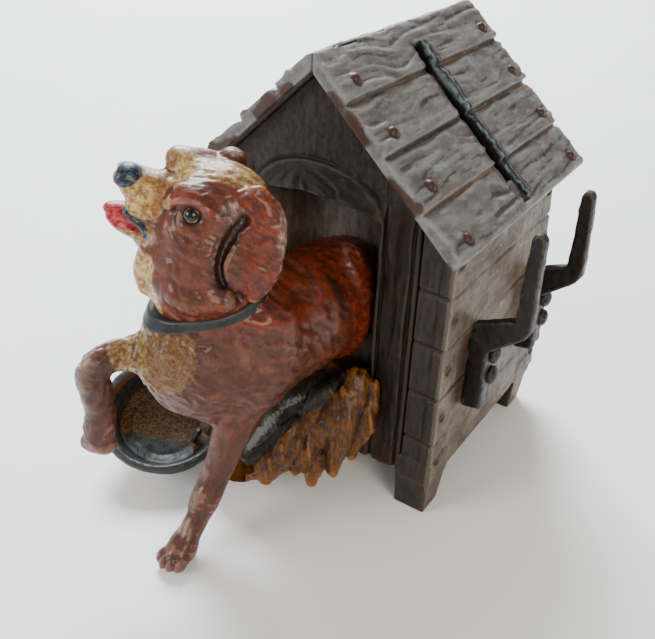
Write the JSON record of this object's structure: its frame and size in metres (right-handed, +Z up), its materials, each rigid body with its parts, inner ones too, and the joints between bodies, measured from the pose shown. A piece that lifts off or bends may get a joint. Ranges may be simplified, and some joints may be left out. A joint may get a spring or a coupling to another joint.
{
  "type": "still bank",
  "caption": "Money box shaped as a boarded dog kennel with a coin slot in the roof, a dog leaping from its doorway over straw and a bowl, and side hooks.",
  "frame": {"origin": "middle of the whole object's footprint, on the surface it stands on", "axes": "+Z up, -Y out of the kennel's doorway, +X towards the wall with the hooks and the slope with the coin slot"},
  "size_m": [0.0846, 0.1042, 0.0955],
  "materials": {
    "front_paint": "satin, very dark brown, worn",
    "wall_paint": "satin, weathered grey-brown",
    "roof_paint": "satin, weathered grey-taupe",
    "bare_iron": "bare, dark, slightly rusty",
    "bracket_paint": "semi-gloss near-black brown",
    "dog_paint": "gloss aged enamel, red-brown and cream",
    "straw_paint": "satin gold over dark brown",
    "bowl_paint": "satin dark grey-green"
  },
  "bodies": {
    "bank": {"front_wall": "front_paint", "doorway_recess": "front_paint", "back_wall": "wall_paint", "left_wall": "wall_paint", "right_wall": "wall_paint", "roof": "roof_paint", "base_plate": "bare_iron", "trap_rivet": "bare_iron", "tie_bolt_left": "bare_iron", "tie_bolt_right": "bare_iron", "floor_screw_left": "bare_iron", "floor_screw_right": "bare_iron", "recess_screw_left": "bare_iron", "recess_screw_right": "bare_iron", "dog_screw": "bare_iron", "straw_screw": "bare_iron", "bracket_front": "bracket_paint", "bracket_rear": "bracket_paint", "rivet_front_upper": "bracket_paint", "rivet_front_lower": "bracket_paint", "rivet_rear_upper": "bracket_paint", "rivet_rear_lower": "bracket_paint", "dog": "dog_paint", "straw_bed": "straw_paint", "food_bowl": "bowl_paint", "bowl_screw": "bowl_paint"},
    "trap": {"trap_cover": "bare_iron"}
  },
  "joints": [
    {"name": "trap_swivel", "type": "hinge", "parent": "bank", "child": "trap", "pos_m": [-0.01606, 0.02109, 0.0082], "axis": [0, 0, 1], "range_deg": [0, 85]}
  ]
}
